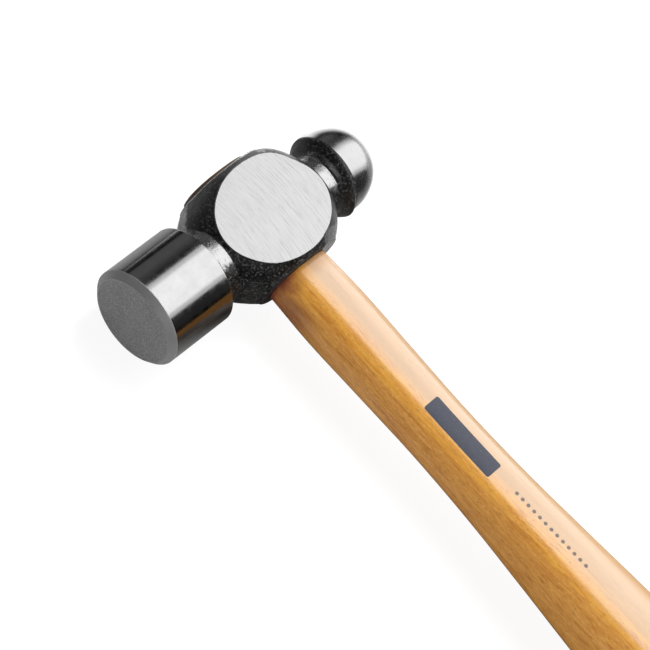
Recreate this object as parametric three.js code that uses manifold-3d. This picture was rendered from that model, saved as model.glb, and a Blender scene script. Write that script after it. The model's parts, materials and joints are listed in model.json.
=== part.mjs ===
// A ball peen hammer, lying on its side. A forged steel head has a flat striking face and a ball
// peen, and a wooden handle is held in its tapered eye by one wooden and two steel wedges.
//
// Millimetres. X runs from the top of the head to the butt of the handle, Y from the striking
// face to the ball, and Z is up, square to the ground cheeks. Pieces are drawn about the centre
// of the eye, and the finished group is moved so that its origin is the middle of its base.
import * as THREE from 'three';
import { mergeVertices } from 'three/addons/utils/BufferGeometryUtils.js';
import Module from 'manifold-3d';

const wasm = await Module();
wasm.setup();

// ---- Driving dimensions ----

const ROUND_SIDES = 48; // sides of a full round
const CURVE_STEPS = 6; // steps along each curve of an outline, and twice that along an ellipse
const FIT_GAP = 0.3; // clearance between the handle and the head
const WEDGE_GAP = 0.2; // clearance around each wedge

// Striking face, and the polished cylinder behind it.
const FACE_Y = -52.1;
const FACE_RADIUS = 16;
const FACE_CHAMFER = 1.8;
const POLL_BACK_Y = -26.7;
const POLL_BACK_EDGE = 0.7;
const POLL_NECK_RADIUS = 13;
const POLL_NECK_FILLET = 1.4;

// Eye body: a spheroid, ground flat on its cheeks, its top and its bottom.
const BODY_SHIFT_X = 0.8; // how far its axis stands off the head's, towards the handle
const BODY_RADIUS = 21.9;
const BODY_HALF_LENGTH = 26;
const BODY_SHOULDER_Y = 20.6; // where the spheroid turns down into a neck
const CHEEK_HALF_WIDTH = 14.35;
const TOP_X = -17.6;
const BOTTOM_X = 18.4;

// Ball peen.
const BALL_NECK_RADIUS = 9.8;
const BALL_NECK_START_Y = 22.8;
const BALL_NECK_END_Y = 26.2;
const BALL_RADIUS = 13.5;
const BALL_EDGE_Y = 30.5;
const BALL_BAND = 2; // straight band between the forged back and the dome
const BALL_TIP_Y = 46.8;

// Eye: an oval hole with a waist. Half sizes along Y and along Z at three places along X.
const EYE = [
  { x: TOP_X, y: 12, z: 9.1 },
  { x: 3, y: 9.7, z: 7.5 },
  { x: BOTTOM_X, y: 10.4, z: 8.4 },
];
const EYE_OVERRUN = 2; // how far the cut for the eye runs past the head
const TENON_END_X = -18.8; // the wood stands a little proud of the top of the eye

// Handle: half widths along Y, and its thickness as a share of its width.
const HANDLE_HALF_WIDTHS = [
  { x: BOTTOM_X, y: 10.6 },
  { x: 36, y: 11.2 },
  { x: 57, y: 10.9 },
  { x: 82, y: 10.6 },
  { x: 107, y: 11.3 },
  { x: 131, y: 12.8 },
  { x: 162, y: 14.9 },
  { x: 198, y: 16 },
  { x: 245, y: 15.6 },
  { x: 300, y: 14.4 },
];
const HANDLE_STEPS = 22;
const BUTT_ROUND = 5;
const BUTT_STEPS = 5;
const SHOULDER_FLATNESS = 0.82;
const BUTT_FLATNESS = 0.78;
const OVAL_POWER = 2.3; // 2 is an ellipse, and more is squarer

// Wedges: how far each reaches into the tenon, and how thick it is at its two ends.
const WOOD_WEDGE = { depth: 26, thick: 4, thin: 1.2 };
const STEEL_WEDGE = { depth: 14, thick: 2.4, thin: 0.8, width: 9.5 };
const STEEL_WEDGE_Y = 5; // each side of the eye's centre
const STEEL_WEDGE_TURN = THREE.MathUtils.degToRad(35);

// ---- Solids ----

function toSolid(geometry) {
  geometry.deleteAttribute('normal');
  geometry.deleteAttribute('uv');
  const merged = mergeVertices(geometry, 1e-4);
  const vertProperties = new Float32Array(merged.attributes.position.array);
  const triVerts = new Uint32Array(merged.index.array);
  return new wasm.Manifold(new wasm.Mesh({ numProp: 3, vertProperties, triVerts }));
}

function toGeometry(solid) {
  const mesh = solid.getMesh();
  const geometry = new THREE.BufferGeometry();
  geometry.setAttribute('position', new THREE.BufferAttribute(mesh.vertProperties, mesh.numProp));
  geometry.setIndex(new THREE.BufferAttribute(mesh.triVerts, 1));
  geometry.computeVertexNormals();
  return geometry;
}

// A solid of revolution about the head's axis, from an outline of radius and Y.
function turned(outline) {
  return toSolid(new THREE.LatheGeometry(outline.getPoints(CURVE_STEPS), ROUND_SIDES));
}

// An oval bar along X through a list of sections, each with its x and its half sizes y and z.
function ovalBar(sections) {
  const first = sections[0];
  const last = sections[sections.length - 1];
  const rings = [{ ...first, y: 0 }, ...sections, { ...last, y: 0 }];
  const outline = rings.map((ring) => new THREE.Vector2(ring.y, ring.x));
  const geometry = new THREE.LatheGeometry(outline, ROUND_SIDES);
  const position = geometry.attributes.position;
  for (let i = 0; i < position.count; i += 1) {
    const ring = rings[i % rings.length];
    const angle = Math.atan2(-position.getZ(i), position.getX(i));
    const cos = Math.cos(angle);
    const sin = Math.sin(angle);
    const round = Math.abs(cos) ** OVAL_POWER + Math.abs(sin) ** OVAL_POWER;
    const reach = ring.y / round ** (1 / OVAL_POWER);
    const flatness = ring.y > 0 ? ring.z / ring.y : 0;
    position.setXYZ(i, ring.x, reach * cos, reach * sin * flatness);
  }
  return toSolid(geometry);
}

// A wedge that points along +X from the tenon's end: thick and thin are its thickness along Z at
// its two ends, and width is its size along Y. Each face stands off outwards by clearance, which
// makes the slot for the wedge.
function wedge({ depth, thick, thin, width }, clearance = 0) {
  const startX = TENON_END_X - clearance;
  const tipX = TENON_END_X + depth + clearance;
  const side = new THREE.Shape();
  side.moveTo(startX, -thick / 2 - clearance);
  side.lineTo(tipX, -thin / 2 - clearance);
  side.lineTo(tipX, thin / 2 + clearance);
  side.lineTo(startX, thick / 2 + clearance);
  side.closePath();
  const extrusion = { depth: width + 2 * clearance, bevelEnabled: false };
  const geometry = new THREE.ExtrudeGeometry(side, extrusion);
  geometry.rotateX(Math.PI / 2);
  geometry.translate(0, width / 2 + clearance, 0);
  return geometry;
}

function grown(sections, amount) {
  return sections.map(({ x, y, z }) => ({ x, y: y + amount, z: z + amount }));
}

// ---- Head ----

function makePoll() {
  const outline = new THREE.Path();
  outline.moveTo(0, FACE_Y);
  outline.lineTo(FACE_RADIUS - FACE_CHAMFER, FACE_Y);
  outline.lineTo(FACE_RADIUS, FACE_Y + FACE_CHAMFER);
  outline.lineTo(FACE_RADIUS, POLL_BACK_Y - POLL_BACK_EDGE);
  outline.lineTo(FACE_RADIUS - POLL_BACK_EDGE, POLL_BACK_Y);
  outline.lineTo(POLL_NECK_RADIUS + POLL_NECK_FILLET, POLL_BACK_Y);
  outline.quadraticCurveTo(
    POLL_NECK_RADIUS, POLL_BACK_Y, POLL_NECK_RADIUS, POLL_BACK_Y + POLL_NECK_FILLET,
  );
  outline.lineTo(POLL_NECK_RADIUS, 0);
  outline.lineTo(0, 0);
  return turned(outline);
}

function makeBody() {
  const shoulderAngle = Math.asin(BODY_SHOULDER_Y / BODY_HALF_LENGTH);
  const outline = new THREE.Path();
  outline.moveTo(0, -BODY_SHOULDER_Y);
  outline.lineTo(POLL_NECK_RADIUS, -BODY_SHOULDER_Y);
  outline.absellipse(
    0, 0, BODY_RADIUS, BODY_HALF_LENGTH, -shoulderAngle, shoulderAngle, false, 0,
  );
  outline.lineTo(BALL_NECK_RADIUS, BALL_NECK_START_Y);
  outline.lineTo(0, BALL_NECK_START_Y);
  const ground = new THREE.BoxGeometry(
    BOTTOM_X - TOP_X, 2 * BODY_HALF_LENGTH, 2 * CHEEK_HALF_WIDTH,
  );
  ground.translate((TOP_X + BOTTOM_X) / 2, 0, 0);
  return turned(outline).translate([BODY_SHIFT_X, 0, 0]).intersect(toSolid(ground));
}

function makeBall() {
  const domeY = BALL_EDGE_Y + BALL_BAND;
  const outline = new THREE.Path();
  outline.moveTo(0, 0);
  outline.lineTo(BALL_NECK_RADIUS, 0);
  outline.lineTo(BALL_NECK_RADIUS, BALL_NECK_END_Y);
  outline.bezierCurveTo(
    BALL_NECK_RADIUS, BALL_NECK_END_Y + 1, BALL_RADIUS, BALL_EDGE_Y - 3, BALL_RADIUS, BALL_EDGE_Y,
  );
  outline.lineTo(BALL_RADIUS, domeY);
  outline.absellipse(0, domeY, BALL_RADIUS, BALL_TIP_Y - domeY, 0, Math.PI / 2, false, 0);
  return turned(outline);
}

function makeHead() {
  const [top, waist, mouth] = EYE;
  const above = { ...top, x: top.x - EYE_OVERRUN };
  const below = { ...mouth, x: mouth.x + EYE_OVERRUN };
  const eye = ovalBar([above, top, waist, mouth, below]);
  return makePoll().add(makeBody()).add(makeBall()).subtract(eye);
}

// ---- Handle and wedges ----

function tenonSections() {
  const [top, waist, mouth] = grown(EYE, -FIT_GAP);
  const end = { ...top, x: TENON_END_X };
  const root = { ...mouth, x: mouth.x + 1 };
  return [end, top, waist, mouth, root];
}

function gripSections() {
  const points = HANDLE_HALF_WIDTHS.map(({ x, y }) => new THREE.Vector2(x, y));
  const curve = new THREE.SplineCurve(points).getPoints(HANDLE_STEPS);
  const startX = curve[0].x;
  const endX = curve[HANDLE_STEPS].x;
  const section = (x, y) => {
    const share = (x - startX) / (endX - startX);
    return { x, y, z: y * THREE.MathUtils.lerp(SHOULDER_FLATNESS, BUTT_FLATNESS, share) };
  };
  const sections = curve.map((point) => section(point.x, point.y));
  sections[0].x += FIT_GAP;
  for (let step = 1; step <= BUTT_STEPS; step += 1) {
    const angle = (step / BUTT_STEPS) * (Math.PI / 2);
    const inwards = BUTT_ROUND * (1 - Math.cos(angle));
    sections.push(section(endX + BUTT_ROUND * Math.sin(angle), curve[HANDLE_STEPS].y - inwards));
  }
  return sections;
}

function placeSteelWedge(geometry, side) {
  geometry.rotateX(Math.PI / 2 - side * STEEL_WEDGE_TURN);
  geometry.translate(0, side * STEEL_WEDGE_Y, 0);
  return toSolid(geometry);
}

const tenon = ovalBar(tenonSections());
const tenonWidth = 2 * EYE[0].y;
const woodWedge = { ...WOOD_WEDGE, width: tenonWidth };
const kerf = toSolid(wedge(woodWedge, WEDGE_GAP));
const sides = [-1, 1];
const steelSlots = sides.map((side) => placeSteelWedge(wedge(STEEL_WEDGE, WEDGE_GAP), side));

const cutSlots = (solid) => steelSlots.reduce((rest, slot) => rest.subtract(slot), solid);

function makeHandle() {
  return cutSlots(tenon.add(ovalBar(gripSections())).subtract(kerf));
}

function makeWoodWedge() {
  return cutSlots(toSolid(wedge(woodWedge)).intersect(tenon));
}

// ---- Assembly ----

const steel = { color: 0x77787a, roughness: 0.32, metalness: 1 };
const varnishedWood = { color: 0xd9a565, roughness: 0.3, metalness: 0 };
const wedgeWood = { color: 0xb98a58, roughness: 0.6, metalness: 0 };
const wedgeSteel = { color: 0x8b8b88, roughness: 0.45, metalness: 1 };

const hammer = new THREE.Group();

function addPiece(name, solid, look) {
  const piece = new THREE.Mesh(toGeometry(solid), new THREE.MeshStandardMaterial(look));
  piece.name = name;
  hammer.add(piece);
}

addPiece('head', makeHead(), steel);
addPiece('handle', makeHandle(), varnishedWood);
addPiece('wood_wedge', makeWoodWedge(), wedgeWood);
sides.forEach((side, i) => {
  addPiece(`steel_wedge_${i + 1}`, placeSteelWedge(wedge(STEEL_WEDGE), side), wedgeSteel);
});

const bounds = new THREE.Box3().setFromObject(hammer);
const middle = bounds.getCenter(new THREE.Vector3());
hammer.position.set(-middle.x, -middle.y, -bounds.min.z);

export default hammer;
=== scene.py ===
"""A ball peen hammer lying on a pale floor: its looks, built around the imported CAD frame.

The head is one mesh of rings about its own axis, ground flat by cutting planes and drilled by an
oval eye. The handle and the wedges are meshes of oval rings along the handle. They take their
places and their outer sizes from the frame. The object is drawn in millimetres from the centre
of the eye, and its finished meshes are in metres. The stage is in metres from the start.
"""
import json
import math

import bmesh
import bpy
from mathutils import Matrix, Vector, noise


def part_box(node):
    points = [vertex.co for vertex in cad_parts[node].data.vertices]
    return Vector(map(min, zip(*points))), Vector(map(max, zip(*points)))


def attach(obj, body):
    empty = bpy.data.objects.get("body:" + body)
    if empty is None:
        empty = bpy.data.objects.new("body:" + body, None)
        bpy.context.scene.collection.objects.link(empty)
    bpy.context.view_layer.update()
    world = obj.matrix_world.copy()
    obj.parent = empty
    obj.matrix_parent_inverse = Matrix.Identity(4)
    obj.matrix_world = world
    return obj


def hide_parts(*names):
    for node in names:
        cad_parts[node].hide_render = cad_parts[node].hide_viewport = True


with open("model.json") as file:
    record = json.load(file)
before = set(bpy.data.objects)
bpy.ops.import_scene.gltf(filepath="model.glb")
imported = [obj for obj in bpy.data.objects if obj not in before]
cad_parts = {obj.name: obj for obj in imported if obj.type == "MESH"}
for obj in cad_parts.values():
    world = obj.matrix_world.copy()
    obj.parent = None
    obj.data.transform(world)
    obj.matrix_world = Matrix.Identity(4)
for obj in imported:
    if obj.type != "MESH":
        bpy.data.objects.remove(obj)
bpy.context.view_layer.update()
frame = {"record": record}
MM = 0.001

# ---- Places and sizes that the frame gives, in millimetres from the centre of the eye ----

mounts = {m["name"]: Vector(m["pos_m"]) for m in frame["record"]["mounts"]}
HEAD_LOW, HEAD_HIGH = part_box("head")
HANDLE_LOW, HANDLE_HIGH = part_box("handle")
EYE = Vector((mounts["upper_cheek"].x, mounts["upper_cheek"].y, (HEAD_LOW.z + HEAD_HIGH.z) / 2))

FACE_Y = (HEAD_LOW.y - EYE.y) / MM
TIP_Y = (HEAD_HIGH.y - EYE.y) / MM
POLL_RADIUS = (HEAD_HIGH.z - EYE.z) / MM
CHEEK_Z = (mounts["upper_cheek"].z - EYE.z) / MM
TOP_X = (HEAD_LOW.x - EYE.x) / MM
BOTTOM_X = (HEAD_HIGH.x - EYE.x) / MM
TENON_END_X = (HANDLE_LOW.x - EYE.x) / MM
BUTT_X = (HANDLE_HIGH.x - EYE.x) / MM


def add_object(name, data):
    """A new object in the scene."""
    made = bpy.data.objects.new(name, data)
    bpy.context.scene.collection.objects.link(made)
    return made


def add_mesh(bm, name, materials):
    """A new object made of a bmesh, which is used up."""
    mesh = bpy.data.meshes.new(name)
    bm.to_mesh(mesh)
    bm.free()
    for material in materials:
        mesh.materials.append(material)
    return add_object(name, mesh)


def place(bm, name, materials):
    """An object from a bmesh that was drawn in millimetres about the centre of the eye."""
    bm.transform(Matrix.Translation(EYE) @ Matrix.Scale(MM, 4))
    bmesh.ops.recalc_face_normals(bm, faces=list(bm.faces))
    return add_mesh(bm, name, materials)


def smooth_step(low, high, value):
    """0 below low, 1 above high, and a smooth rise between them."""
    share = min(max((value - low) / (high - low), 0), 1)
    return share * share * (3 - 2 * share)


# ---- Outlines: lists of (y, radius) points ----


def straight(start, end, steps):
    """Points from start to end, without start."""
    return [
        tuple(a + (b - a) * i / steps for a, b in zip(start, end)) for i in range(1, steps + 1)
    ]


def bend(start, control_1, control_2, end, steps):
    """Points along a Bezier curve, without its start."""
    points = []
    for i in range(1, steps + 1):
        t = i / steps
        weights = ((1 - t) ** 3, 3 * t * (1 - t) ** 2, 3 * t * t * (1 - t), t ** 3)
        corners = (start, control_1, control_2, end)
        points.append(tuple(sum(w * c[k] for w, c in zip(weights, corners)) for k in (0, 1)))
    return points


def corner(start, tip, end, steps):
    """Points round a corner with its tip cut off in a curve, without start."""
    return bend(start, tip, tip, end, steps)


def oval_arc(centre_y, half_length, radius, start, end, steps):
    """Points along an ellipse about the axis, from angle start to end, without the first."""
    angles = [start + (end - start) * i / steps for i in range(1, steps + 1)]
    return [(centre_y + half_length * math.sin(a), radius * math.cos(a)) for a in angles]


# ---- Head ----

AROUND = 288  # vertices in each ring of the head
CHAMFER = 1.8
CHAMFER_EDGE = 0.35  # rounding of the chamfer's two edges
POLL_BACK_Y = -26.7
POLL_BACK_EDGE = 0.6
POLL_BACK_HOLLOW = 1.4  # rounding where the poll's back meets its neck
POLL_NECK_RADIUS = 13.0
POLL_NECK_START_Y = -25.3
POLL_NECK_END_Y = -21.3
POLL_NECK_RUN_OUT = 0.2  # how far short of the body the neck turns into it
BODY_RADIUS = 21.9
BODY_HALF_LENGTH = 26
BODY_SHOULDER_Y = 20.6
FORGED_SHIFT_X = 0.8  # how far the forging stands off the turned axis, towards the handle
BALL_NECK_RADIUS = 9.8
BALL_NECK_START_Y = 22.6
BALL_NECK_END_Y = 26.2
BALL_NECK_RUN_OUT = 1
BALL_RADIUS = 13.5
BALL_EDGE_Y = 30.5
BALL_BAND = 2  # the straight part behind the dome
FLARE_REACHES = (1.3, 2.8)  # how far the flare to the ball follows the neck, and the ball
GRIND_LOW_Y = POLL_BACK_Y + 1  # the flats are ground between these two, clear of the poll
GRIND_HIGH_Y = BALL_EDGE_Y - 2  # and of the ball

# Edges of the ground flats: height, and bands (width, share of the height) from the outer one in.
CHEEK_EDGE = (0.25, ((0.1, 0.7), (0.25, 0.3)))
TOP_EDGE = (0.5, ((0.15, 0.6), (0.35, 0.4)))

FORGED_LOW_Y = POLL_BACK_Y + 0.4  # the forged skin lies between these two
FORGED_HIGH_Y = BALL_EDGE_Y - 0.4
FORGED_BLEND = 1.5  # and takes this much to get from the turned ends to its full shift
FORGED_WAVES = ((0.22, 9), (0.06, 2.2))  # height and length of its unevenness

# Dents and swellings of the forged skin: middle, reach, and how far it goes out.
DENTS = (
    ((-14, -13, 8), 8, -0.9),
    ((12, -17, -11), 9, -1.9),
    ((-13, 13, 9), 6.5, 1.5),
    ((-8, 14, 18), 6, -1.3),
    ((12, 26, 0), 5, 1.0),
)

# Material slots of the head, in order.
FACE, CHAMFERED, POLL, FORGED, CHEEK, BALL = range(6)


def poll_outline():
    """Spans (finish, points) from the middle of the striking face to the poll's back edge."""
    inner = POLL_RADIUS - CHAMFER
    cut = CHAMFER_EDGE * 0.7  # the chamfer slopes at 45 degrees
    flat_end = (FACE_Y, inner - CHAMFER_EDGE)
    chamfer_start = (FACE_Y + cut, inner + cut)
    chamfer_end = (FACE_Y + CHAMFER - cut, POLL_RADIUS - cut)
    round_start = (FACE_Y + CHAMFER + CHAMFER_EDGE, POLL_RADIUS)
    round_end = (POLL_BACK_Y - POLL_BACK_EDGE, POLL_RADIUS)
    back = (POLL_BACK_Y, POLL_RADIUS - POLL_BACK_EDGE)
    return [
        (FACE, [(FACE_Y, 0)]),
        (FACE, straight((FACE_Y, 0), flat_end, 8)),
        (CHAMFERED, corner(flat_end, (FACE_Y, inner), chamfer_start, 4)),
        (CHAMFERED, straight(chamfer_start, chamfer_end, 4)),
        (CHAMFERED, corner(chamfer_end, (FACE_Y + CHAMFER, POLL_RADIUS), round_start, 4)),
        (POLL, straight(round_start, round_end, 24)),
        (POLL, corner(round_end, (POLL_BACK_Y, POLL_RADIUS), back, 5)),
    ]


def body_outline():
    """Spans from the poll's back edge, down to its neck, over the eye body and to the ball."""
    back = (POLL_BACK_Y, POLL_RADIUS - POLL_BACK_EDGE)
    neck_start = (POLL_NECK_START_Y, POLL_NECK_RADIUS)
    neck_end = (POLL_NECK_END_Y, POLL_NECK_RADIUS)
    turn = math.asin(BODY_SHOULDER_Y / BODY_HALF_LENGTH)
    shoulder = BODY_RADIUS * math.cos(turn)
    body_start = (-BODY_SHOULDER_Y, shoulder)
    body_end = (BODY_SHOULDER_Y, shoulder)
    ball_neck_start = (BALL_NECK_START_Y, BALL_NECK_RADIUS)
    ball_neck_end = (BALL_NECK_END_Y, BALL_NECK_RADIUS)
    ball_edge = (BALL_EDGE_Y, BALL_RADIUS)
    wall = (POLL_BACK_Y, POLL_NECK_RADIUS + POLL_BACK_HOLLOW)
    body_tip = (-BODY_SHOULDER_Y - POLL_NECK_RUN_OUT, POLL_NECK_RADIUS)
    ball_tip = (BODY_SHOULDER_Y + BALL_NECK_RUN_OUT, BALL_NECK_RADIUS)
    flare_1 = (BALL_NECK_END_Y + FLARE_REACHES[0], BALL_NECK_RADIUS)
    flare_2 = (BALL_EDGE_Y - FLARE_REACHES[1], BALL_RADIUS)
    return [
        (FORGED, straight(back, wall, 3)),
        (FORGED, corner(wall, (POLL_BACK_Y, POLL_NECK_RADIUS), neck_start, 10)),
        (FORGED, straight(neck_start, neck_end, 12)),
        (FORGED, corner(neck_end, body_tip, body_start, 5)),
        (FORGED, oval_arc(0, BODY_HALF_LENGTH, BODY_RADIUS, -turn, turn, 120)),
        (FORGED, corner(body_end, ball_tip, ball_neck_start, 14)),
        (FORGED, straight(ball_neck_start, ball_neck_end, 8)),
        (FORGED, bend(ball_neck_end, flare_1, flare_2, ball_edge, 24)),
    ]


def ball_outline():
    """Spans over the ball, from its edge to its tip."""
    dome_y = BALL_EDGE_Y + BALL_BAND
    return [
        (BALL, straight((BALL_EDGE_Y, BALL_RADIUS), (dome_y, BALL_RADIUS), 4)),
        (BALL, oval_arc(dome_y, TIP_Y - dome_y, BALL_RADIUS, 0, math.pi / 2, 44)),
    ]


def revolve(bm, spans):
    """Rings about Y through the spans of an outline, with each band of faces in its finish."""
    rings = []
    for finish, points in spans:
        for y, radius in points:
            count = AROUND if radius > 1e-6 else 1
            angles = [2 * math.pi * i / AROUND for i in range(count)]
            ring = [
                bm.verts.new((radius * math.sin(a), y, radius * math.cos(a))) for a in angles
            ]
            rings.append((finish, ring))
    for (_, low), (finish, high) in zip(rings, rings[1:]):
        for i in range(AROUND):
            j = (i + 1) % AROUND
            ends = (low[j % len(low)], low[i % len(low)], high[i % len(high)], high[j % len(high)])
            face = bm.faces.new(dict.fromkeys(ends))
            face.material_index = finish
            face.smooth = True


def forge(bm):
    """Sets the forging off the turned axis, and pushes its skin in and out a little."""
    for vertex in bm.verts:
        y = vertex.co.y
        if not FORGED_LOW_Y < y < FORGED_HIGH_Y:
            continue
        ends = smooth_step(0, FORGED_BLEND, min(y - FORGED_LOW_Y, FORGED_HIGH_Y - y))
        outwards = Vector((vertex.co.x, 0, vertex.co.z)).normalized()
        push = sum(height * noise.noise(vertex.co / length) for height, length in FORGED_WAVES)
        for middle, reach, depth in DENTS:
            away = (vertex.co - Vector(middle)).length / reach
            push += depth * math.exp(-away * away)
        vertex.co += outwards * ends * push
        vertex.co.x += FORGED_SHIFT_X * ends


def grind(bm, axis, limit):
    """Cuts the eye body flat at limit along axis, and returns the open edge as an ordered loop."""
    faces = [f for f in bm.faces if GRIND_LOW_Y < f.calc_center_median().y < GRIND_HIGH_Y]
    parts = [*faces, *(v for f in faces for v in f.verts), *(e for f in faces for e in f.edges)]
    geometry = list(dict.fromkeys(parts))  # each part once, and in the same order every run
    normal = Vector((0, 0, 0))
    normal[axis] = math.copysign(1, limit)
    point = Vector((0, 0, 0))
    point[axis] = limit
    cut = bmesh.ops.bisect_plane(
        bm, geom=geometry, plane_co=point, plane_no=normal, clear_outer=True, dist=1e-5
    )
    edge = [v for v in cut["geom_cut"] if isinstance(v, bmesh.types.BMVert)]
    a, b = [k for k in range(3) if k != axis]
    return sorted(edge, key=lambda v: math.atan2(v.co[b], v.co[a]))


def inset(bm, loop, axis, amount, rise, finish):
    """A band of faces from a flat loop to a smaller one, raised along axis."""
    middle = sum((v.co for v in loop), Vector()) / len(loop)
    ring = []
    for vertex in loop:
        inwards = middle - vertex.co
        inwards[axis] = 0
        point = vertex.co + inwards.normalized() * amount
        point[axis] += rise
        ring.append(bm.verts.new(point))
    join(bm, loop, ring, finish)
    return ring


def join(bm, outer, inner, finish):
    """Quads between two loops with as many vertices each."""
    n = len(outer)
    for i in range(n):
        face = bm.faces.new((outer[i], outer[(i + 1) % n], inner[(i + 1) % n], inner[i]))
        face.material_index = finish
        face.smooth = True


def close_flat(bm, loop, finish):
    """Closes a flat loop with a fan about its middle."""
    middle = bm.verts.new(sum((v.co for v in loop), Vector()) / len(loop))
    for i, vertex in enumerate(loop):
        face = bm.faces.new((vertex, loop[(i + 1) % len(loop)], middle))
        face.material_index = finish


def zip_flat(bm, outer, inner, finish):
    """Triangles between two flat loops about the X axis, by angle."""

    def angles(loop):
        found = [math.atan2(v.co.z, v.co.y) for v in loop]
        return found + [found[0] + 2 * math.pi]

    outer_angles, inner_angles = angles(outer), angles(inner)
    i = j = 0
    while i < len(outer) or j < len(inner):
        inner_done = j == len(inner)
        outer_left = i < len(outer)
        step_outer = inner_done or (outer_left and outer_angles[i + 1] <= inner_angles[j + 1])
        here, there = outer[i % len(outer)], inner[j % len(inner)]
        if step_outer:
            i += 1
            face = bm.faces.new((here, outer[i % len(outer)], there))
        else:
            j += 1
            face = bm.faces.new((here, inner[j % len(inner)], there))
        face.material_index = finish


# Half sizes of the eye along Y and Z at its top, its waist and its mouth.
EYE_TOP = (12.0, 9.1)
EYE_WAIST = (9.7, 7.5)
EYE_MOUTH = (10.4, 8.4)
EYE_WAIST_X = 3
EYE_RIM = 0.5  # rounding of the eye's two rims
OVAL_POWER = 2.3  # 2 is an ellipse, and more is squarer
EYE_AROUND = 160


def oval(half_y, half_z, around, power=OVAL_POWER):
    """Points (y, z) of a squared oval, in order of angle."""
    points = []
    for i in range(around):
        angle = -math.pi + 2 * math.pi * (i + 0.5) / around
        c, s = math.cos(angle), math.sin(angle)
        reach = (abs(c) ** power + abs(s) ** power) ** (-1 / power)
        points.append((half_y * reach * c, half_z * reach * s))
    return sorted(points, key=lambda p: math.atan2(p[1], p[0]))


def eye_size(x):
    """Half sizes of the eye at x."""
    if x < EYE_WAIST_X:
        start, end, share = EYE_TOP, EYE_WAIST, (x - TOP_X) / (EYE_WAIST_X - TOP_X)
    else:
        start, end, share = EYE_WAIST, EYE_MOUTH, (x - EYE_WAIST_X) / (BOTTOM_X - EYE_WAIST_X)
    return tuple(a + (b - a) * share for a, b in zip(start, end))


def drill_eye(bm, top_loop, bottom_loop):
    """The tapered eye between the top and bottom flats, with its rims rounded."""
    rim_steps, depth_steps = 3, 14
    rows = []
    for k in range(rim_steps + 1):
        angle = math.pi / 2 * k / rim_steps
        rows.append((EYE_RIM * (1 - math.cos(angle)), EYE_RIM * (1 - math.sin(angle))))
    depth = BOTTOM_X - TOP_X
    rims = [(BOTTOM_X - x, extra) for x, extra in reversed(rows)]
    rows = [(TOP_X + x, extra) for x, extra in rows]
    for k in range(1, depth_steps):
        rows.append((TOP_X + EYE_RIM + (depth - 2 * EYE_RIM) * k / depth_steps, 0))
    rings = []
    for x, extra in rows + rims:
        half_y, half_z = eye_size(x)
        points = oval(half_y + extra, half_z + extra, EYE_AROUND)
        rings.append([bm.verts.new((x, y, z)) for y, z in points])
    for low, high in zip(rings, rings[1:]):
        join(bm, low, high, FORGED)
    zip_flat(bm, top_loop, rings[0], FORGED)
    zip_flat(bm, bottom_loop, rings[-1], FORGED)


def grind_flat(bm, axis, limit, edge, finish):
    """Grinds a flat with a rounded edge, and returns the loop round what is left to close."""
    side = math.copysign(1, limit)
    height, bands = edge
    loop = grind(bm, axis, limit - side * height)
    for width, share in bands:
        loop = inset(bm, loop, axis, width, side * height * share, finish)
    return loop


def make_head(materials):
    """Turned, forged, ground on four sides and drilled."""
    bm = bmesh.new()
    revolve(bm, poll_outline() + body_outline() + ball_outline())
    forge(bm)
    for limit in (-CHEEK_Z, CHEEK_Z):
        close_flat(bm, grind_flat(bm, 2, limit, CHEEK_EDGE, CHEEK), CHEEK)
    loops = [grind_flat(bm, 0, limit, TOP_EDGE, FORGED) for limit in (TOP_X, BOTTOM_X)]
    drill_eye(bm, *loops)
    return place(bm, "hammer_head", materials)


# ---- Handle ----

HANDLE_AROUND = 160
GRIP_STATIONS = (  # x and half size along Y
    (18.4, 10.6), (36, 11.2), (57, 10.9), (82, 10.6), (107, 11.3),
    (131, 12.8), (162, 14.9), (198, 16.0), (245, 15.6), (300, 14.4),
)
SHOULDER_GAP = 0.03  # between the head and the handle's shoulder
SHOULDER_EDGE = 0.15  # bevel of the shoulder
SHOULDER_FLATNESS = 0.82  # the size along Z as a share of the size along Y
BUTT_FLATNESS = 0.78
BUTT_ROUND = 5  # how far the butt's edge is rounded inwards
TENON_FIT = 0.04  # clearance between the tenon and the eye
TENON_BEVEL = 0.25

# Material slots of the handle, in order.
WOOD, END_GRAIN = range(2)


def spline(stations, x):
    """Catmull-Rom through (x, value) stations."""
    last = len(stations) - 2
    k = next((i for i in range(last) if x < stations[i + 1][0]), last)
    p1, p2 = stations[k], stations[k + 1]
    p0 = stations[max(k - 1, 0)]
    p3 = stations[min(k + 2, len(stations) - 1)]
    span = p2[0] - p1[0]
    t = (x - p1[0]) / span
    m1 = (p2[1] - p0[1]) / (p2[0] - p0[0]) * span
    m2 = (p3[1] - p1[1]) / (p3[0] - p1[0]) * span
    return (
        (2 * t ** 3 - 3 * t ** 2 + 1) * p1[1]
        + (t ** 3 - 2 * t ** 2 + t) * m1
        + (-2 * t ** 3 + 3 * t ** 2) * p2[1]
        + (t ** 3 - t ** 2) * m2
    )


def tenon_sections(shoulder_x):
    """Sections (x, half y, half z) from the tenon's end to the shoulder."""
    step = 2
    bevelled = TENON_END_X + TENON_BEVEL
    count = int((shoulder_x - bevelled) / step)
    places = [TENON_END_X, bevelled, *[bevelled + step * k for k in range(1, count)], shoulder_x]
    sections = []
    for x in places:
        half_y, half_z = eye_size(min(max(x, TOP_X), BOTTOM_X))
        inwards = TENON_FIT + (TENON_BEVEL if x == TENON_END_X else 0)
        sections.append((x, half_y - inwards, half_z - inwards))
    return sections


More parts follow.
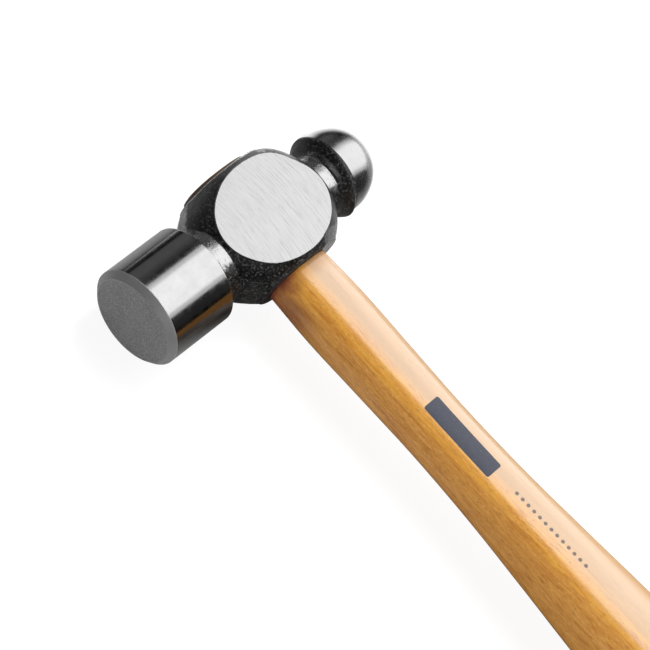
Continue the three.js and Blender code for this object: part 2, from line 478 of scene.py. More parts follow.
def handle_sections():
    """Sections (x, half y, half z) from the tenon's end to the butt."""
    shoulder_x = BOTTOM_X + SHOULDER_GAP
    end_x = GRIP_STATIONS[-1][0]
    steps, round_steps = 190, 10

    def grip(x, inwards=0):
        half_y = spline(GRIP_STATIONS, min(x, end_x)) - inwards
        share = (x - shoulder_x) / (end_x - shoulder_x)
        flatness = SHOULDER_FLATNESS + (BUTT_FLATNESS - SHOULDER_FLATNESS) * share
        return x, half_y, half_y * flatness

    sections = tenon_sections(shoulder_x)
    sections.append(grip(shoulder_x, SHOULDER_EDGE))
    start_x = shoulder_x + SHOULDER_EDGE
    for k in range(steps + 1):
        sections.append(grip(start_x + (end_x - start_x) * k / steps))
    for k in range(1, round_steps + 1):
        angle = math.pi / 2 * k / round_steps
        x = end_x + (BUTT_X - end_x) * math.sin(angle)
        sections.append(grip(x, BUTT_ROUND * (1 - math.cos(angle))))
    return sections


def loft(sections, around, power, finishes):
    """A closed bmesh of oval rings along X; finishes are for its side and its two ends."""
    bm = bmesh.new()
    side, ends = finishes
    rings = []
    for x, half_y, half_z in sections:
        points = oval(half_y, half_z, around, power)
        rings.append([bm.verts.new((x, y, z)) for y, z in points])
    for low, high in zip(rings, rings[1:]):
        join(bm, low, high, side)
    close_flat(bm, rings[0], ends)
    close_flat(bm, rings[-1], ends)
    return bm


# ---- Wedges ----

WEDGE_AROUND = 96
WEDGE_POWER = 14  # nearly a rectangle
WEDGE_BEVEL = 0.18
SLOT_CLEARANCE = 0.07
SLOT_OVERRUN = 1  # how far a slot's cutter stands out of the tenon
SLIVER = 0.001  # edges shorter than this are closed up after a cut
WOOD_WEDGE_SHORT = 0.3  # how far the tenon's oval falls in at the faces of the wood wedge
WOOD_WEDGE = {"depth": 26, "thick": 4, "thin": 1.2}
STEEL_WEDGE = {"depth": 14, "thick": 2.4, "thin": 0.8, "width": 9.5}
STEEL_WEDGE_Y = 5
STEEL_WEDGE_TURN = math.radians(35)


def wedge_sections(size, half_width, grown):
    """Sections of a wedge, or with grown above 0 of the slot for it, open at the tenon's end."""
    steps = 6
    sections = []
    for k in range(steps + 1):
        x = TENON_END_X + size["depth"] * k / steps
        half_z = (size["thick"] + (size["thin"] - size["thick"]) * k / steps) / 2
        sections.append((x, half_width(x) + grown, half_z + grown))
    x, half_y, half_z = sections[0]
    if grown:
        return [(x - SLOT_OVERRUN, half_y, half_z), *sections]
    bevelled = (x, half_y - WEDGE_BEVEL, half_z - WEDGE_BEVEL)
    return [bevelled, (x + WEDGE_BEVEL, half_y, half_z), *sections[1:]]


def wood_wedge_width(x):
    """Half the wood wedge's width at x, a little less than the tenon's own."""
    return eye_size(max(x, TOP_X))[0] - WOOD_WEDGE_SHORT


def make_wood_wedge(name, materials, grown=0):
    sections = wedge_sections(WOOD_WEDGE, wood_wedge_width, grown)
    return place(loft(sections, WEDGE_AROUND, WEDGE_POWER, (0, 0)), name, materials)


def make_steel_wedge(name, side, materials, grown=0):
    sections = wedge_sections(STEEL_WEDGE, lambda x: STEEL_WEDGE["width"] / 2, grown)
    bm = loft(sections, WEDGE_AROUND, WEDGE_POWER, (0, 0))
    bm.transform(Matrix.Rotation(math.pi / 2 - side * STEEL_WEDGE_TURN, 4, "X"))
    bm.transform(Matrix.Translation((0, side * STEEL_WEDGE_Y, 0)))
    return place(bm, name, materials)


def cut(piece, slots):
    """Cuts each slot out of a piece, and closes up the slivers that this leaves."""
    for slot in slots:
        modifier = piece.modifiers.new("slot", "BOOLEAN")
        modifier.operation = "DIFFERENCE"
        modifier.solver = "MANIFOLD"
        modifier.object = slot
    graph = bpy.context.evaluated_depsgraph_get()
    mesh = bpy.data.meshes.new_from_object(piece.evaluated_get(graph))
    bm = bmesh.new()
    bm.from_mesh(mesh)
    bmesh.ops.dissolve_degenerate(bm, dist=SLIVER * MM, edges=list(bm.edges))
    bm.to_mesh(mesh)
    bm.free()
    # The solver leaves an empty material slot behind the piece's own.
    while mesh.materials[-1] is None:
        mesh.materials.pop()
    piece.modifiers.clear()
    piece.data = mesh


# ---- Materials ----


class Nodes:
    """Short ways of adding shader nodes to a tree."""

    def __init__(self, tree):
        self.tree = tree

    def node(self, kind, inputs, output=0, **settings):
        """One output of a new node; its inputs are values or other nodes' outputs."""
        made = self.tree.nodes.new("ShaderNode" + kind)
        for key, value in settings.items():
            setattr(made, key, value)
        for key, value in inputs.items():
            if isinstance(value, bpy.types.NodeSocket):
                self.tree.links.new(value, made.inputs[key])
            elif isinstance(value, tuple) and made.inputs[key].type == "RGBA":
                made.inputs[key].default_value = (*value, 1)
            else:
                made.inputs[key].default_value = value
        return made.outputs[output]

    def math(self, operation, a, *others):
        """One operation on a value alone, or with each of the others in turn."""
        for b in others or (0.0,):
            a = self.node("Math", {0: a, 1: b}, operation=operation)
        return a


class Paint(Nodes):
    """A new material, and short ways of adding nodes to it."""

    def __init__(self, name):
        self.material = bpy.data.materials.new(name)
        self.material.use_nodes = True
        super().__init__(self.material.node_tree)
        self.shader = self.tree.nodes["Principled BSDF"]

    def set(self, name, value):
        """Puts a number, a colour or a node's output into one of the shader's own sockets."""
        socket = self.shader.inputs[name]
        if isinstance(value, bpy.types.NodeSocket):
            self.tree.links.new(value, socket)
        else:
            socket.default_value = (*value, 1) if isinstance(value, tuple) else value

    def spot(self, stretch=(1, 1, 1), turn=(0, 0, 0)):
        """Millimetres from the eye's centre, turned and then stretched along each axis."""
        coords = self.node("TexCoord", {}, "Object")
        scale = tuple(MM * s for s in stretch)
        inputs = {"Vector": coords, "Location": EYE, "Rotation": turn, "Scale": scale}
        return self.node("Mapping", inputs, vector_type="TEXTURE")

    def along(self, axis):
        """One coordinate of each spot, by the name of its axis."""
        return self.node("SeparateXYZ", {"Vector": self.spot()}, axis)

    def offset(self, middle, axes=(1, 1, 0)):
        """The way from a point to each spot, along some of the axes only."""
        off = self.node("VectorMath", {0: self.spot(), 1: middle}, operation="SUBTRACT")
        return self.node("VectorMath", {0: off, 1: axes}, operation="MULTIPLY")

    def length(self, vector):
        return self.node("VectorMath", {0: vector}, "Value", operation="LENGTH")

    def noise(self, size, vector=None, detail=2.0, rough=0.5, distortion=0.0):
        """Noise from 0 to 1 with lumps of a size, in the units of its vector."""
        inputs = {
            "Vector": vector or self.spot(),
            "Scale": 1 / size,
            "Detail": detail,
            "Roughness": rough,
            "Distortion": distortion,
        }
        return self.node("TexNoise", inputs)

    def rings(self, size, value):
        """Noise that changes along one coordinate only."""
        inputs = {"W": value, "Scale": 1 / size, "Detail": 2.0}
        return self.node("TexNoise", inputs, noise_dimensions="1D")

    def ramp(self, value, low, high, start=0.0, end=1.0):
        """Start below low, end above high, and a smooth change between them."""
        inputs = {0: value, 1: low, 2: high, 3: start, 4: end}
        return self.node("MapRange", inputs, interpolation_type="SMOOTHSTEP")

    def mix(self, share, a, b):
        """Colour a where share is 0, and b where it is 1."""
        return self.node("Mix", {0: share, 6: a, 7: b}, 2, data_type="RGBA")

    def bump(self, height, depth, normal=None):
        """A normal from a height of 0 to 1 that stands for a depth in millimetres."""
        inputs = {"Height": height, "Distance": depth * MM}
        if normal:
            inputs["Normal"] = normal
        return self.node("Bump", inputs)


def grey(value):
    return (value, value, value)


def polished_steel(name, smoothest, roughest):
    """Turned and polished: rings of fine marks, and cloudy patches."""
    paint = Paint(name)
    clouds = paint.noise(3.5, detail=4)
    marks = paint.rings(0.14, paint.along("Y"))
    speckle = paint.noise(0.45, detail=3, rough=0.6)
    paint.set("Metallic", 1.0)
    paint.set("Base Color", paint.mix(clouds, grey(0.2), grey(0.27)))
    shine = paint.math("MULTIPLY", clouds, speckle)
    paint.set("Roughness", paint.ramp(shine, 0.1, 0.5, smoothest, roughest))
    normal = paint.bump(marks, 0.0012)
    paint.set("Normal", paint.bump(speckle, 0.004, normal))
    return paint.material


def striking_face_steel():
    """Ground to a dull grey, with small knocks."""
    paint = Paint("striking_face_steel")
    clouds = paint.noise(5, detail=5)
    speckle = paint.noise(0.5, detail=3)
    knocks = paint.ramp(paint.noise(1.3, detail=1), 0.7, 0.78)
    paint.set("Metallic", 0.35)
    dull = paint.mix(clouds, grey(0.18), grey(0.27))
    dull = paint.mix(paint.ramp(speckle, 0.45, 0.65, 0, 0.7), dull, grey(0.4))
    paint.set("Base Color", paint.mix(knocks, dull, grey(0.38)))
    paint.set("Roughness", paint.ramp(speckle, 0.3, 0.7, 0.5, 0.62))
    paint.set("Normal", paint.bump(speckle, 0.008))
    return paint.material


def chamfer_steel():
    """Ground less finely than the polished side, in rings."""
    paint = Paint("chamfer_steel")
    marks = paint.rings(0.2, paint.along("Y"))
    speckle = paint.noise(0.5, detail=3)
    paint.set("Metallic", 0.55)
    paint.set("Base Color", paint.mix(speckle, grey(0.26), grey(0.4)))
    paint.set("Roughness", paint.ramp(speckle, 0.3, 0.7, 0.32, 0.42))
    paint.set("Normal", paint.bump(marks, 0.004))
    return paint.material


GRINDING_CENTRE = (-1.5, -90, 0)  # the grinding lines on the cheeks are arcs about this point


def brushed_steel():
    """Ground cheeks: fine arcs, a few deeper ones, and cloudy patches."""
    paint = Paint("brushed_steel")
    away = paint.length(paint.offset(GRINDING_CENTRE))
    along = paint.along("X")

    def strokes(length, width, detail, rough=0.5):
        at = paint.node("CombineXYZ", {"X": paint.math("DIVIDE", along, length), "Y": away})
        return paint.noise(width, at, detail, rough)

    lines = paint.ramp(strokes(22, 0.46, 3, 0.6), 0.3, 0.7)
    dashes = paint.ramp(strokes(9, 0.5, 2), 0.55, 0.72)
    clouds = paint.noise(5, detail=3)
    paint.set("Metallic", 1.0)
    plain = paint.mix(clouds, grey(0.185), grey(0.22))
    lined = paint.mix(lines, plain, grey(0.285))
    paint.set("Base Color", paint.mix(paint.math("MULTIPLY", dashes, 0.45), lined, grey(0.15)))
    paint.set("Roughness", paint.ramp(lines, 0, 1, 0.27, 0.38))
    paint.set("Normal", paint.bump(lines, 0.006))
    return paint.material


# The necks are rubbed bright about these middles along Y, full out to one distance and not at all
# past the other.
WORN_NECKS = ((POLL_NECK_START_Y + 2, 2.2, 3.2), (BALL_NECK_START_Y + 1.8, 2.8, 4.2))
POLL_CORNER_AXIS = (0.666, 0.666, 0.336)  # points away from the body's worn corner by the poll


def forged_wear(paint):
    """How far the scale is rubbed off, from 0 to 1: in blotches on the necks and some edges."""
    x = paint.along("X")
    y = paint.along("Y")
    necks = []
    for middle, full, none in WORN_NECKS:
        off_middle = paint.math("ABSOLUTE", paint.math("SUBTRACT", y, middle))
        necks.append(paint.ramp(off_middle, full, none, 1, 0))
    less_above = paint.ramp(x, -9, -5, -0.5, 0)
    less_below = paint.ramp(x, 4, 9, 0, -0.75)
    necks = paint.math("ADD", paint.math("MAXIMUM", *necks), less_above, less_below)
    either_side = paint.math("ABSOLUTE", paint.along("Z"))
    corner_at = paint.node("CombineXYZ", {"X": x, "Y": y, "Z": either_side})
    inputs = {0: corner_at, 1: POLL_CORNER_AXIS}
    off_corner = paint.node("VectorMath", inputs, "Value", operation="DOT_PRODUCT")
    poll_corner = paint.ramp(off_corner, -20.6, -18.0, 0.88, 0)
    by_ball = paint.math("MULTIPLY", paint.ramp(y, 7, 10), paint.ramp(y, 16, 18, 1, 0))
    top = paint.math("MULTIPLY", paint.ramp(x, -14.5, -12, 0.6, 0), by_ball)
    rim = paint.ramp(x, TOP_X + 0.2, TOP_X + 0.9, 1, 0)
    mouth = paint.math("MULTIPLY", paint.ramp(x, 12, 17, 0, 0.85), paint.ramp(y, 4, 9))
    rubbed = paint.math("MAXIMUM", necks, poll_corner, top, rim, mouth)
    blotches = paint.noise(1.5, detail=4, rough=0.65)
    return paint.ramp(paint.math("ADD", rubbed, blotches), 1, 1.45)


def forged_steel():
    """Black scale with pale specks and fine pits, and bright steel where it is rubbed off."""
    paint = Paint("forged_steel")
    x = paint.along("X")
    y = paint.along("Y")
    wear = forged_wear(paint)
    scale = paint.noise(0.7, detail=5, rough=0.7)
    lumps = paint.noise(2.6, detail=3)
    pits = paint.ramp(paint.noise(1.1, detail=2), 0.28, 0.4)
    patches = paint.noise(7, detail=4)
    paint.set("Metallic", paint.ramp(wear, 0, 1))
    dark = paint.mix(paint.ramp(patches, 0.4, 0.6), grey(0.003), grey(0.012))
    skin = paint.mix(paint.ramp(scale, 0.5, 0.72), dark, grey(0.14))
    crown = paint.math("MULTIPLY", paint.ramp(x, -12, -8, 1, 0), paint.ramp(y, -14, -8))
    bare = paint.mix(crown, grey(0.25), grey(0.5))
    paint.set("Base Color", paint.mix(wear, skin, bare))
    rough = paint.ramp(scale, 0.3, 0.7, 0.28, 0.48)
    round_handle = paint.ramp(x, 17, 18, 0, 0.7)
    rough = paint.math("MAXIMUM", rough, round_handle)
    bright = paint.ramp(scale, 0.3, 0.7, 0.14, 0.3)
    paint.set("Roughness", paint.node("Mix", {0: wear, 2: rough, 3: bright}))
    paint.set("IOR", 1.35)
    normal = paint.bump(lumps, 0.12)
    normal = paint.bump(scale, 0.07, normal)
    paint.set("Normal", paint.bump(pits, 0.03, normal))
    return paint.material


# A plain printed bar and a row of dots on the handle, along X and Y.
BAR_MIDDLE = (87.2, -0.5, 0)
BAR_HALF = (13.8, 3.1)
BAR_CORNER, BAR_BLUR = 0.7, 0.06
DOTS_START, DOTS_END, DOTS_Y = 110, 140, -0.1
DOT_PITCH, DOT_RADIUS, DOT_BLUR = 2.4, 0.62, 0.1
DOT_MARGIN = 0.2  # blank before the first dot
DOT_INK = 0.8  # as a share of the bar's


def printed(paint):
    """How much ink there is at each spot, from 0 to 1, a little worn."""
    x = paint.along("X")
    off = paint.node("VectorMath", {0: paint.offset(BAR_MIDDLE)}, operation="ABSOLUTE")
    inner = (BAR_HALF[0] - BAR_CORNER, BAR_HALF[1] - BAR_CORNER, 0)
    off = paint.node("VectorMath", {0: off, 1: inner}, operation="SUBTRACT")
    off = paint.node("VectorMath", {0: off, 1: (0, 0, 0)}, operation="MAXIMUM")
    bar = paint.ramp(paint.length(off), BAR_CORNER - BAR_BLUR, BAR_CORNER + BAR_BLUR, 1, 0)
    cell = paint.math("PINGPONG", paint.math("SUBTRACT", x, DOTS_START), DOT_PITCH / 2)
    across = paint.math("SUBTRACT", paint.along("Y"), DOTS_Y)
    off = paint.node("CombineXYZ", {"X": cell, "Y": across, "Z": 0.0})
    inside, outside = DOT_RADIUS - DOT_BLUR, DOT_RADIUS + DOT_BLUR
    dots = paint.ramp(paint.length(off), inside, outside, DOT_INK, 0)
    after = paint.math("GREATER_THAN", x, DOTS_START - DOT_RADIUS - DOT_MARGIN)
    before = paint.math("LESS_THAN", x, DOTS_END)
    dots = paint.math("MULTIPLY", dots, after, before)
    upper_side = paint.math("GREATER_THAN", paint.along("Z"), 0.0)
    worn = paint.ramp(paint.noise(0.5, detail=3), 0.25, 0.4, 0.85, 1)
    return paint.math("MULTIPLY", paint.math("MAXIMUM", bar, dots), upper_side, worn)


# Pairs of colours that each wood wanders between. The two tones are partly real wood and partly
# painted light: paler sapwood on the side towards the softbox, and deeper heartwood colours as
# painted shade on the side away from it.
LIT_SIDE_SAPWOOD = ((0.54, 0.32, 0.145), (0.5, 0.28, 0.115))
SHADED_GOLDEN = ((0.78, 0.38, 0.045), (0.68, 0.28, 0.034))
SHADED_BROWN = ((0.68, 0.32, 0.065), (0.54, 0.215, 0.037))
GROWTH_RINGS = ((0.5, 0.27, 0.1), (0.33, 0.15, 0.05))
WEDGE_WOOD = ((0.42, 0.25, 0.12), (0.26, 0.13, 0.05))

# Single colours.
DARK_STREAK = (0.25, 0.085, 0.02)
FLECK = (0.24, 0.085, 0.025)
PALE_GRAIN = (0.85, 0.5, 0.14)
# Partly a real stain and partly painted shade, by the shoulder and along the low edge.
SHOULDER_STAIN_AND_SHADE = (0.17, 0.035, 0.03)
TENON_GRIME = (0.09, 0.065, 0.05)
OPEN_PORE = (0.12, 0.05, 0.02)
RUST = (0.13, 0.05, 0.02)
INK = (0.042, 0.048, 0.072)


def wood_grain(paint):
    """Colour of the wood, with painted shade on its side away from the softbox, and its pores as a
    height.
    """
    drift = paint.spot(stretch=(14, 1, 1), turn=(0, 0.012, 0.03))
    broad = paint.noise(7, drift, detail=3, rough=0.55, distortion=0.6)
    streaks = paint.noise(1.3, drift, detail=4, rough=0.65, distortion=0.8)
    fleck_at = paint.spot(stretch=(5, 1, 1), turn=(0, 0, 0.05))
    flecks = paint.ramp(paint.noise(0.42, fleck_at, detail=2), 0.56, 0.7)
    grain = paint.noise(0.5, paint.spot(stretch=(3, 1, 1)), detail=3, rough=0.7)
    pores = paint.noise(0.22, paint.spot(stretch=(25, 1, 1)), detail=2)
    wander = paint.ramp(broad, 0.2, 0.8, -2.2, 2.2)
    across = paint.math("ADD", paint.along("Y"), wander)
    # The -Y side of the handle faces away from the softbox. Heartwood there and sapwood on the
    # other side are partly real two-tone wood and partly painted shade and light.
    heartwood_and_shade = paint.ramp(across, -6, 1, 1, 0)
    lit_sapwood = paint.mix(paint.ramp(broad, 0.3, 0.7), *LIT_SIDE_SAPWOOD)
    streaky = paint.ramp(streaks, 0.35, 0.65)
    shaded_golden = paint.mix(streaky, *SHADED_GOLDEN)
    shaded_brown = paint.mix(streaky, *SHADED_BROWN)
    shaded_heartwood = paint.mix(paint.ramp(across, -7.5, -4.5, 1, 0), shaded_golden, shaded_brown)
    color = paint.mix(heartwood_and_shade, lit_sapwood, shaded_heartwood)
    dark = paint.mix(0.5, color, DARK_STREAK)
    streaked = paint.math("MULTIPLY", paint.ramp(streaks, 0.55, 0.75), 0.5)
    color = paint.mix(streaked, color, dark)
    share = paint.math("MULTIPLY", flecks, paint.ramp(heartwood_and_shade, 0, 1, 0.08, 0.38))
    color = paint.mix(share, color, FLECK)
    pale = paint.math("MULTIPLY", paint.ramp(grain, 0.5, 0.7), paint.ramp(heartwood_and_shade, 0, 1, 0.05, 0.35))
    color = paint.mix(pale, color, PALE_GRAIN)
    return color, pores


def varnished_wood():
    """Wood under a gloss varnish, with a stain and painted shade at the shoulder, painted shade
    along its low edge, and the printed marks.
    """
    paint = Paint("varnished_wood")
    color, pores = wood_grain(paint)
    x = paint.along("X")
    y = paint.along("Y")
    # At the shoulder: a stain, and painted shade that is deeper on the -Y side, away from the
    # softbox.
    smudge = paint.noise(2.2, detail=4)
    near_head = paint.ramp(paint.math("ADD", x, paint.math("MULTIPLY", smudge, 5)), 20, 29, 1, 0)
    shaded_low_side = paint.ramp(y, -8.5, -2, 1, 0.2)
    stain_and_shade = paint.math("MULTIPLY", near_head, shaded_low_side)
    # Painted shade along the handle's low edge on the -Y side, away from the softbox.
    edge = paint.math("MULTIPLY", paint.ramp(x, 26, 40, 0.6, 0), paint.ramp(y, -10.5, -8.5, 1, 0))
    stain_and_shade = paint.math("MAXIMUM", stain_and_shade, edge)
    color = paint.mix(paint.math("MULTIPLY", stain_and_shade, 0.9), color, SHOULDER_STAIN_AND_SHADE)
    tenon = paint.ramp(x, TOP_X - 0.2, TOP_X + 1, 0.85, 0)
    color = paint.mix(tenon, color, TENON_GRIME)
    ink = printed(paint)
    paint.set("Base Color", paint.mix(ink, color, INK))
    paint.set("Roughness", paint.ramp(pores, 0.3, 0.7, 0.4, 0.55))
    paint.set("Normal", paint.bump(pores, 0.012))
    paint.set("IOR", 1.3)
    varnish = paint.math("MULTIPLY", paint.ramp(x, 19, 25, 0.3, 1), paint.ramp(y, 5, 10, 1, 0.3))
    bare = paint.math("SUBTRACT", 1.0, paint.math("MULTIPLY", ink, 0.9))
    paint.set("Coat Weight", paint.math("MULTIPLY", varnish, bare))
    paint.set("Coat Roughness", 0.2)
    paint.set("Coat IOR", 1.75)
    return paint.material


PITH = (0, -30, 22)  # the growth rings run round this point


def end_grain():
    """Bare sawn ends: growth rings crossed by pores."""
    paint = Paint("end_grain")
    reach = paint.length(paint.offset(PITH, (0, 1, 1)))
    wobble = paint.math("MULTIPLY", paint.noise(6), 2)
    rings = paint.math("PINGPONG", paint.math("ADD", reach, wobble), 0.9)
    pores = paint.ramp(paint.noise(0.22, detail=1), 0.58, 0.7)
    color = paint.mix(paint.ramp(rings, 0.1, 0.8), *GROWTH_RINGS)
    color = paint.mix(paint.math("MULTIPLY", pores, 0.7), color, OPEN_PORE)
    paint.set("Base Color", color)
    paint.set("Roughness", paint.ramp(rings, 0.1, 0.8, 0.6, 0.75))
    paint.set("Normal", paint.bump(pores, -0.05))
    return paint.material


def wedge_wood():
    """A paler hardwood, its end crushed a little by the hammering."""
    paint = Paint("wedge_wood")
    layers = paint.noise(0.5, paint.spot(stretch=(10, 8, 1)), detail=3)
    crushed = paint.noise(1.4, detail=3)
    paint.set("Base Color", paint.mix(paint.ramp(layers, 0.35, 0.65), *WEDGE_WOOD))
    paint.set("Roughness", paint.ramp(crushed, 0.3, 0.7, 0.55, 0.75))
    paint.set("Normal", paint.bump(crushed, 0.12, paint.bump(layers, 0.04)))
    return paint.material


def wedge_steel():
    """Cut strip steel with a hammered end and a touch of rust."""
    paint = Paint("wedge_steel")
    dings = paint.noise(0.9, detail=3)
    rust = paint.ramp(paint.noise(1.6, detail=5, rough=0.7), 0.55, 0.7)
    steel = paint.mix(dings, grey(0.16), grey(0.3))
    paint.set("Base Color", paint.mix(rust, steel, RUST))
    paint.set("Metallic", paint.ramp(rust, 0, 1, 1, 0.2))
    paint.set("Roughness", paint.ramp(dings, 0.3, 0.7, 0.32, 0.55))
    paint.set("Normal", paint.bump(dings, 0.1))
    return paint.material


# ---- Pieces ----


def add_piece(piece, node):
    """A piece of the object: the node that it replaces."""
    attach(piece, "root")
    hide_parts(node)


head_finishes = [
    striking_face_steel(),
    chamfer_steel(),
    polished_steel("polished_poll", 0.11, 0.24),
    forged_steel(),
    brushed_steel(),
    polished_steel("polished_ball", 0.17, 0.32),
]
add_piece(make_head(head_finishes), "head")

handle_mesh = loft(handle_sections(), HANDLE_AROUND, OVAL_POWER, (WOOD, END_GRAIN))
handle = place(handle_mesh, "hammer_handle", [varnished_wood(), end_grain()])
add_piece(handle, "handle")

wood_wedge = make_wood_wedge("hardwood_wedge", [wedge_wood()])
add_piece(wood_wedge, "wood_wedge")

kerf = make_wood_wedge("kerf", [], SLOT_CLEARANCE)
wedge_finish = wedge_steel()
steel_slots = []
for number, side in enumerate((-1, 1), 1):
    steel_wedge = make_steel_wedge(f"driven_wedge_{number}", side, [wedge_finish])
    add_piece(steel_wedge, f"steel_wedge_{number}")
    steel_slots.append(make_steel_wedge(f"slot_{number}", side, [], SLOT_CLEARANCE))

cut(handle, [kerf, *steel_slots])
cut(wood_wedge, steel_slots)
for slot in (kerf, *steel_slots):
    bpy.data.objects.remove(slot)

# ---- Stage ----

# What polished metal sees of the floor, in millimetres from the centre of the eye. In reflections
# only it carries painted light and shade: light that fades with distance from the eye, painted
# shadow where the handle leaves the head and under the handle, and a painted glow past the ball.
FLOOR_BRIGHT, FLOOR_DARK = 0.65, 0.05
FLOOR_NEAR, FLOOR_FAR = 35, 150  # it grows dark between these two
SHADE_MIDDLE = (22, -14, 0)  # and is darker about this point, where the handle leaves the head
SHADE_NEAR, SHADE_FAR = 12, 32
FLOOR_GLOW = 2.0  # how bright it is past the ball
GLOW_NEAR, GLOW_FAR = 60, 300  # the glow fades between these two

FLOOR_SEEN, FLOOR_SHINE = 0.12, 0.9  # colour and own light, as the camera sees the floor
FLOOR_HALF = 3  # metres


def make_floor():
    """A pale floor, bright to the camera; in reflections it has painted shadows, and a painted
    glow beyond the ball.
    """
    bm = bmesh.new()
    bmesh.ops.create_grid(bm, x_segments=8, y_segments=8, size=FLOOR_HALF)
    paint = Paint("pale_floor")
    floor = add_mesh(bm, "floor", [paint.material])
    x = paint.along("X")
    away = paint.length(paint.offset((0, 0, 0)))
    mirrored = paint.node("LightPath", {}, "Is Glossy Ray")
    seen = paint.node("LightPath", {}, "Is Camera Ray")
    # In reflections only: painted light near the object that fades with distance, and painted
    # shadow about SHADE_MIDDLE and under the handle.
    near = paint.ramp(away, FLOOR_NEAR, FLOOR_FAR, 1, 0)
    shade = paint.length(paint.offset(SHADE_MIDDLE))
    shade = paint.ramp(shade, SHADE_NEAR, SHADE_FAR, 0.3, 1)
    shadow_under_handle = paint.ramp(x, -5, 20, 1, 0.5)
    lit = paint.math("MULTIPLY", near, shade, shadow_under_handle)
    dim = paint.math("MULTIPLY", paint.math("SUBTRACT", 1.0, lit), mirrored)
    color = paint.mix(dim, grey(FLOOR_BRIGHT), grey(FLOOR_DARK))
    paint.set("Base Color", paint.mix(seen, color, grey(FLOOR_SEEN)))
    paint.set("Roughness", 0.25)
    # Painted light: past the ball the floor glows in reflections only, as a bright card would.
    past_ball = paint.math("MULTIPLY", paint.ramp(paint.along("Y"), 38, 56), mirrored)
    off_handle = paint.ramp(x, 8, 30, 1, 0)
    fading = paint.ramp(away, GLOW_NEAR, GLOW_FAR, FLOOR_GLOW, 0)
    glow = paint.math("MULTIPLY", past_ball, off_handle, fading)
    shine = paint.math("MULTIPLY", seen, FLOOR_SHINE)
    paint.set("Emission Color", grey(1))
    paint.set("Emission Strength", paint.math("ADD", glow, shine))


def add_area_light(name, size, radiance, matrix):
    """A rectangular light that shines down its own Z, and that the camera doesn't see."""
    light = bpy.data.lights.new(name, "AREA")
    light.shape = "RECTANGLE"
    light.size, light.size_y = size
    light.energy = radiance * math.pi * light.size * light.size_y
    lamp = add_object(name, light)
    lamp.matrix_world = matrix
    lamp.visible_camera = False
    return lamp


# Softboxes over the far side of the object, one before the other so that the light fades towards
# its edges: distance, radiance, and left and right edges. All edges are shares of the distance.
SOFTBOXES = (
    (0.9, 1.9, -0.5, 1.03),
    (0.8, 1.6, -0.32, 0.78),
)
SOFTBOX_SPAN = (-0.38, 1.75)  # the upper and the lower edge of both


def make_softbox(distance, radiance, left, right):
    """A large softbox, its face square to aim."""
    aim = Vector((0, 0.48, 0.877)).normalized()
    down = Vector((0, 0.877, -0.48)).normalized()
    across = Vector((1, 0, 0))
    upper, lower = SOFTBOX_SPAN
    size = ((right - left) * distance, (lower - upper) * distance)
    turn = Matrix((across, down, aim)).transposed().to_4x4()
    middle = aim + across * (left + right) / 2 + down * (upper + lower) / 2
    add_area_light("softbox", size, radiance, Matrix.Translation(EYE + middle * distance) @ turn)


FILL_RADIANCE = 3.2
FILL_SIZE = (1.2, 0.8)
FILL_DISTANCE = 1.2
FILL_AIM = (0.5, -0.78, 0.36)


def make_fill():
    """A weaker softbox low on the near side, which only lights what is not polished."""
    aim = Vector(FILL_AIM).normalized()
    turn = aim.to_track_quat("Z", "Y").to_matrix().to_4x4()
    matrix = Matrix.Translation(EYE + aim * FILL_DISTANCE) @ turn
    fill = add_area_light("fill", FILL_SIZE, FILL_RADIANCE, matrix)
    fill.visible_glossy = False


ROOM_SEEN = 0.93  # how bright the camera sees the room

# The room that lights the object: its brightness at some X of a direction, greyer on the left,
# times its brightness at some Z, with a dark strip above the horizon.
ROOM_LEFT, ROOM_RIGHT = (-0.76, 0.24), (-0.56, 0.055)
ROOM_RISE = ((0, 0.03), (0.07, 0.03), (0.15, 1), (1, 1))


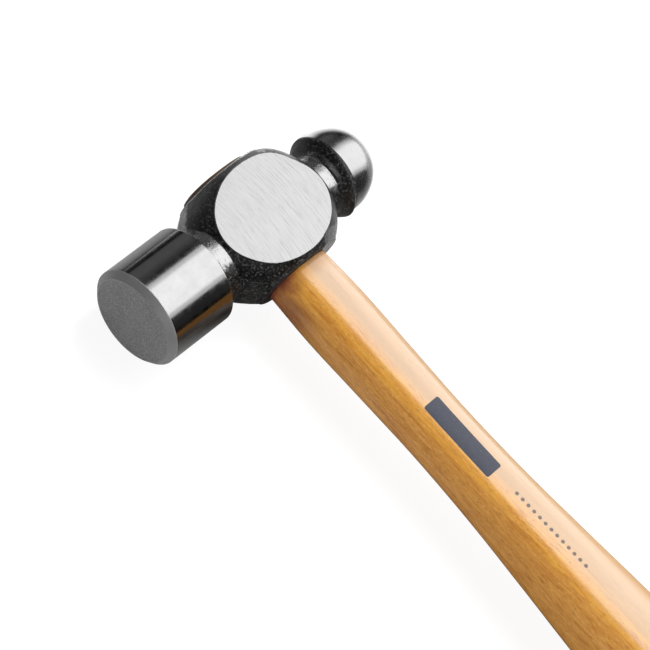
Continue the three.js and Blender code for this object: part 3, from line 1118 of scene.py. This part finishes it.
def make_world():
    """A pale room to the camera, and a dark one to the object."""
    world = bpy.data.worlds.new("studio")
    bpy.context.scene.world = world
    world.use_nodes = True
    room = Nodes(world.node_tree)
    nodes = world.node_tree.nodes
    direction = room.node("TexCoord", {}, "Generated")
    x = room.node("SeparateXYZ", {"Vector": direction}, "X")
    z = room.node("SeparateXYZ", {"Vector": direction}, "Z")
    ends = {1: ROOM_LEFT[0], 2: ROOM_RIGHT[0], 3: ROOM_LEFT[1], 4: ROOM_RIGHT[1]}
    side = room.node("MapRange", {0: x, **ends})
    rise = room.node("ValToRGB", {"Fac": z})
    stops = rise.node.color_ramp.elements
    for height, _ in ROOM_RISE[1:-1]:
        stops.new(height)
    for stop, (_, value) in zip(stops, ROOM_RISE):
        stop.color = (*grey(value), 1)
    around = room.node("Background", {"Color": room.math("MULTIPLY", side, rise)})
    nodes["Background"].inputs["Color"].default_value = (*grey(ROOM_SEEN), 1)
    seen = room.node("LightPath", {}, "Is Camera Ray")
    backgrounds = {0: seen, 1: around, 2: nodes["Background"].outputs["Background"]}
    mixed = room.node("MixShader", backgrounds)
    world.node_tree.links.new(mixed, nodes["World Output"].inputs["Surface"])


# The camera: degrees of azimuth, elevation and roll, metres from the eye, and millimetres of lens.
CAMERA_TURNS = (10.585, 57.78, 39.0)
CAMERA_PLACE = (0.12767, -0.49752, 0.79569)
CAMERA_LENS = 177.23
CAMERA_SENSOR = 36


def make_camera():
    azimuth, elevation, roll = (math.radians(a) for a in CAMERA_TURNS)
    camera = add_object("camera", bpy.data.cameras.new("camera"))
    camera.data.sensor_width = CAMERA_SENSOR
    camera.data.lens = CAMERA_LENS
    camera.data.clip_start = 0.01
    level = math.cos(elevation)
    back = Vector((math.sin(azimuth) * level, -math.cos(azimuth) * level, math.sin(elevation)))
    upright = back.to_track_quat("Z", "Y").to_matrix()
    turn = upright @ Matrix.Rotation(roll, 3, "Z")
    camera.matrix_world = Matrix.Translation(EYE + Vector(CAMERA_PLACE)) @ turn.to_4x4()
    bpy.context.scene.camera = camera


make_floor()
for softbox in SOFTBOXES:
    make_softbox(*softbox)
make_fill()
make_world()
make_camera()
bpy.context.scene.view_settings.view_transform = "Standard"
